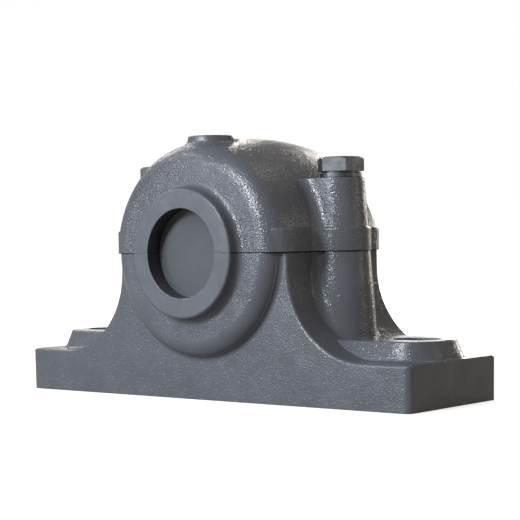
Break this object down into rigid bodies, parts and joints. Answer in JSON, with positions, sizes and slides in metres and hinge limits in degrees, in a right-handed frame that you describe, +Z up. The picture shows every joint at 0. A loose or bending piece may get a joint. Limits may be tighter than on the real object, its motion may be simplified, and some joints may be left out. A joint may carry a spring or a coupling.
{
  "type": "split plummer block",
  "caption": "Split cast plummer block with two cap bolts, one closed neck and a self-aligning ball bearing on an adapter sleeve for a shaft end.",
  "frame": {"origin": "middle of the foot's underside, below the bearing centre", "axes": "+X along the foot, +Y along the shaft towards the open neck, +Z up"},
  "size_m": [0.205, 0.085, 0.1079],
  "materials": {
    "painted_casting": "semi-gloss anthracite paint over rough sand casting",
    "bolt_steel": "dark phosphated steel",
    "washer_steel": "plain spring steel",
    "bearing_steel": "ground and polished bearing steel",
    "turned_steel": "turned steel, lightly oiled",
    "cage_polymer": "moulded glass-filled polyamide",
    "seal_rubber": "moulded nitrile rubber",
    "cover_plastic": "moulded grey plastic",
    "ring_iron": "machined iron"
  },
  "bodies": {
    "housing": {"base": "painted_casting", "cap": "painted_casting", "cap_bolt_left": "bolt_steel", "cap_bolt_right": "bolt_steel", "spring_washer_left": "washer_steel", "spring_washer_right": "washer_steel", "dowel_pin_left": "turned_steel", "dowel_pin_right": "turned_steel", "outer_ring": "bearing_steel", "locating_ring_front": "ring_iron", "locating_ring_rear": "ring_iron", "end_cover": "cover_plastic", "rear_seal_upper": "seal_rubber", "rear_seal_lower": "seal_rubber", "grease_plug": "turned_steel"},
    "shaft_set": {"inner_ring": "bearing_steel", "adapter_sleeve": "turned_steel", "lock_nut": "turned_steel", "lock_washer": "washer_steel"},
    "ball_set": {"cage": "cage_polymer", "balls_front_row": "bearing_steel", "balls_rear_row": "bearing_steel"}
  },
  "joints": [
    {"name": "shaft_spin", "type": "hinge", "parent": "housing", "child": "shaft_set", "pos_m": [0, 0, 0.06], "axis": [0, 1, 0], "continuous": true},
    {"name": "ball_orbit", "type": "hinge", "parent": "housing", "child": "ball_set", "pos_m": [0, 0, 0.06], "axis": [0, 1, 0], "continuous": true}
  ],
  "couplings": [
    {"joint": "ball_orbit", "follows": "shaft_spin", "ratio": 0.428}
  ]
}
